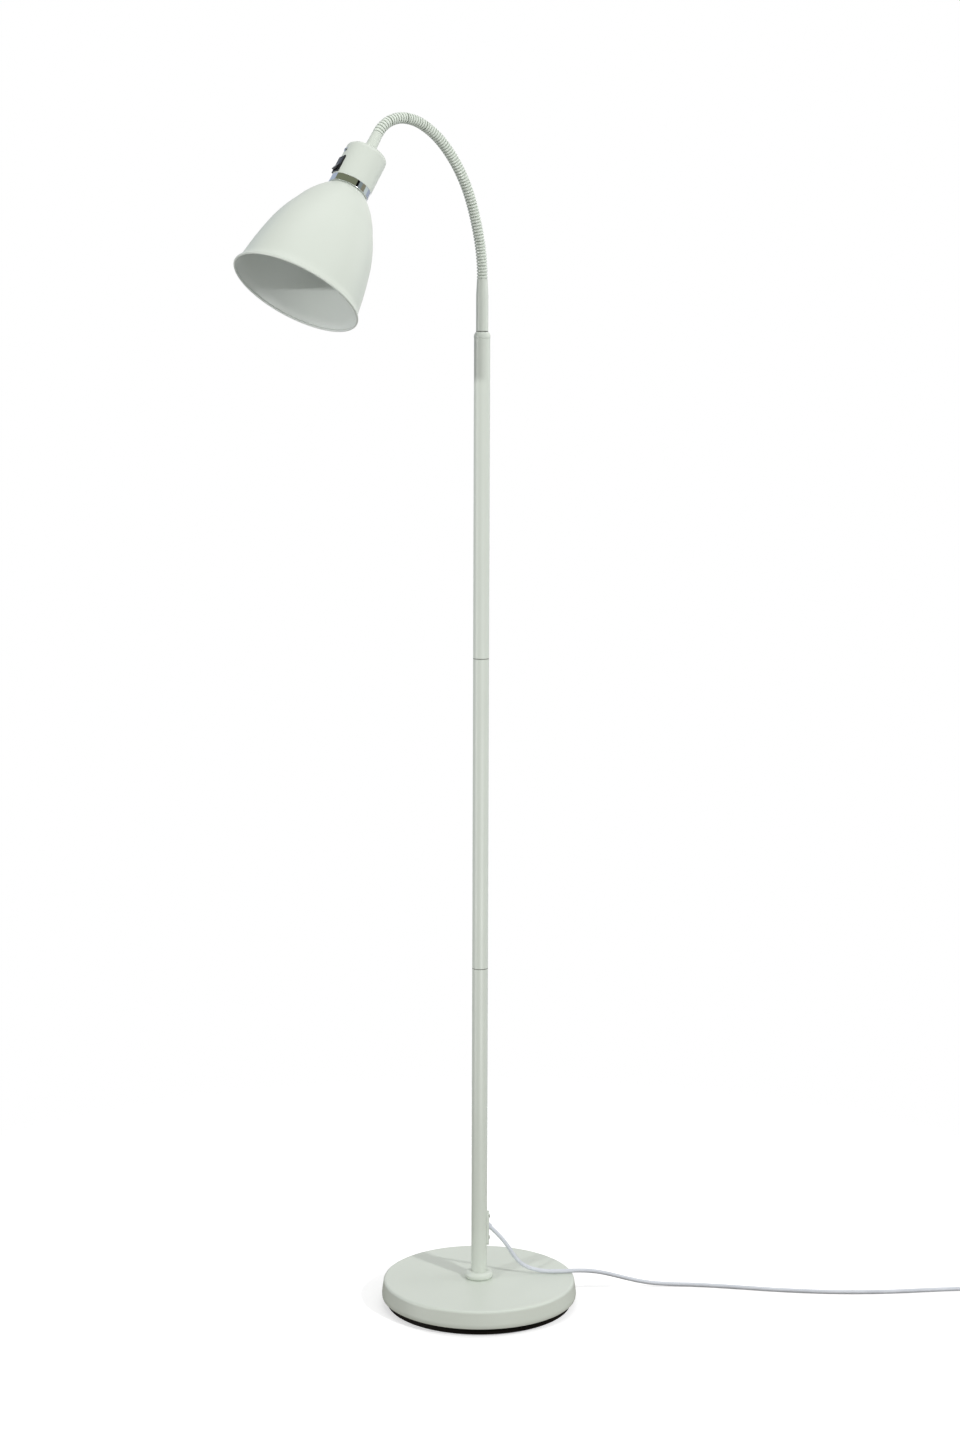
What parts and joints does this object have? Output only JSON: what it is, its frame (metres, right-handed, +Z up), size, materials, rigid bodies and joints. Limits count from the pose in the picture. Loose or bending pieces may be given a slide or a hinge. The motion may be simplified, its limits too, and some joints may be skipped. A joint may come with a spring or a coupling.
{
  "type": "gooseneck floor lamp",
  "caption": "Reading floor lamp: a round weighted base, a slim straight pole, a ribbed gooseneck and a bell shade under a cup housing with a rocker switch; the cord leaves low on the pole.",
  "frame": {"origin": "centre of the base's foot face, on the floor", "axes": "+Z up along the pole; the gooseneck bends in the XZ plane and carries the head towards -X; +Y completes the right-handed frame"},
  "size_m": [0.9739, 0.5443, 1.4197],
  "materials": {
    "painted_steel": "satin",
    "black_plastic": "satin",
    "foot_foam": "matte",
    "cast_iron": "matte",
    "zinc_steel": "satin",
    "chrome": "polished",
    "brass": "polished",
    "bulb_glass": "gloss",
    "cord_plastic": "satin"
  },
  "bodies": {
    "stand": {"ballast_disc": "cast_iron", "base_collar": "painted_steel", "base_nipple": "zinc_steel", "base_nut": "zinc_steel", "base_shell": "painted_steel", "base_washer": "zinc_steel", "bottom_cover": "black_plastic", "cord_bush": "cord_plastic", "cord_coil": "cord_plastic", "cord_entry_plate": "painted_steel", "cord_run": "cord_plastic", "entry_screws": "zinc_steel", "foot_pad": "foot_foam", "joint_nipples": "zinc_steel", "lower_tube": "painted_steel", "middle_tube": "painted_steel", "plug_body": "cord_plastic", "plug_pins": "brass", "plug_relief": "cord_plastic", "pole_cable": "cord_plastic", "top_reducer": "painted_steel", "tube_bushes": "zinc_steel", "upper_tube": "painted_steel"},
    "neck_1": {"neck_ferrule": "painted_steel", "swivel_nut": "zinc_steel", "gooseneck_1": "painted_steel", "neck_cable_1": "cord_plastic"},
    "neck_2": {"gooseneck_2": "painted_steel", "neck_cable_2": "cord_plastic"},
    "neck_3": {"gooseneck_3": "painted_steel", "neck_cable_3": "cord_plastic"},
    "neck_4": {"gooseneck_4": "painted_steel", "neck_cable_4": "cord_plastic"},
    "neck_5": {"gooseneck_5": "painted_steel", "neck_cable_5": "cord_plastic"},
    "neck_6": {"gooseneck_6": "painted_steel", "neck_cable_6": "cord_plastic"},
    "neck_7": {"gooseneck_7": "painted_steel", "neck_cable_7": "cord_plastic"},
    "head": {"gooseneck_8": "painted_steel", "neck_cable_8": "cord_plastic", "head_ferrule": "painted_steel", "ferrule_nut": "zinc_steel", "switch_housing": "painted_steel", "holder_bracket": "zinc_steel", "housing_screw": "zinc_steel", "chrome_ring": "chrome", "shade": "painted_steel", "holder_nipple": "zinc_steel", "holder_nut": "zinc_steel", "holder_cap": "black_plastic", "holder_body": "black_plastic", "screw_shell": "brass", "centre_contact": "brass", "bulb_cap": "chrome", "bulb_glass": "bulb_glass", "switch_body": "black_plastic", "switch_terminals": "brass", "head_wires": "cord_plastic"},
    "switch_rocker": {"rocker": "black_plastic"}
  },
  "joints": [
    {"name": "neck_swivel", "type": "hinge", "parent": "stand", "child": "neck_1", "pos_m": [0, 0, 1.177], "axis": [0, 0, 1], "range_deg": [-150, 150]},
    {"name": "neck_lower_bend", "type": "hinge", "parent": "neck_1", "child": "neck_2", "pos_m": [-0.00469, 0, 1.28106], "axis": [0, -1, 0], "range_deg": [-12, 7]},
    {"name": "neck_lower_bend_2", "type": "hinge", "parent": "neck_2", "child": "neck_3", "pos_m": [-0.01695, 0, 1.32245], "axis": [0, -1, 0], "range_deg": [-12, 7]},
    {"name": "neck_lower_bend_3", "type": "hinge", "parent": "neck_3", "child": "neck_4", "pos_m": [-0.03504, 0, 1.35757], "axis": [0, -1, 0], "range_deg": [-12, 7]},
    {"name": "neck_lower_bend_4", "type": "hinge", "parent": "neck_4", "child": "neck_5", "pos_m": [-0.06096, 0, 1.38738], "axis": [0, -1, 0], "range_deg": [-12, 7]},
    {"name": "neck_upper_bend", "type": "hinge", "parent": "neck_5", "child": "neck_6", "pos_m": [-0.09103, 0, 1.40691], "axis": [0, -1, 0], "range_deg": [-18, 6]},
    {"name": "neck_upper_bend_2", "type": "hinge", "parent": "neck_6", "child": "neck_7", "pos_m": [-0.11892, 0, 1.41335], "axis": [0, -1, 0], "range_deg": [-18, 6]},
    {"name": "neck_upper_bend_3", "type": "hinge", "parent": "neck_7", "child": "head", "pos_m": [-0.14332, 0, 1.40816], "axis": [0, -1, 0], "range_deg": [-18, 6]},
    {"name": "switch_rocker", "type": "hinge", "parent": "head", "child": "switch_rocker", "pos_m": [-0.20852, 0.00582, 1.35766], "axis": [-0.2285, -0.9613, 0.1541], "range_deg": [0, 20]}
  ],
  "couplings": [
    {"joint": "neck_lower_bend_2", "follows": "neck_lower_bend", "ratio": 1},
    {"joint": "neck_lower_bend_3", "follows": "neck_lower_bend", "ratio": 1},
    {"joint": "neck_lower_bend_4", "follows": "neck_lower_bend", "ratio": 1},
    {"joint": "neck_upper_bend_2", "follows": "neck_upper_bend", "ratio": 1},
    {"joint": "neck_upper_bend_3", "follows": "neck_upper_bend", "ratio": 1}
  ]
}
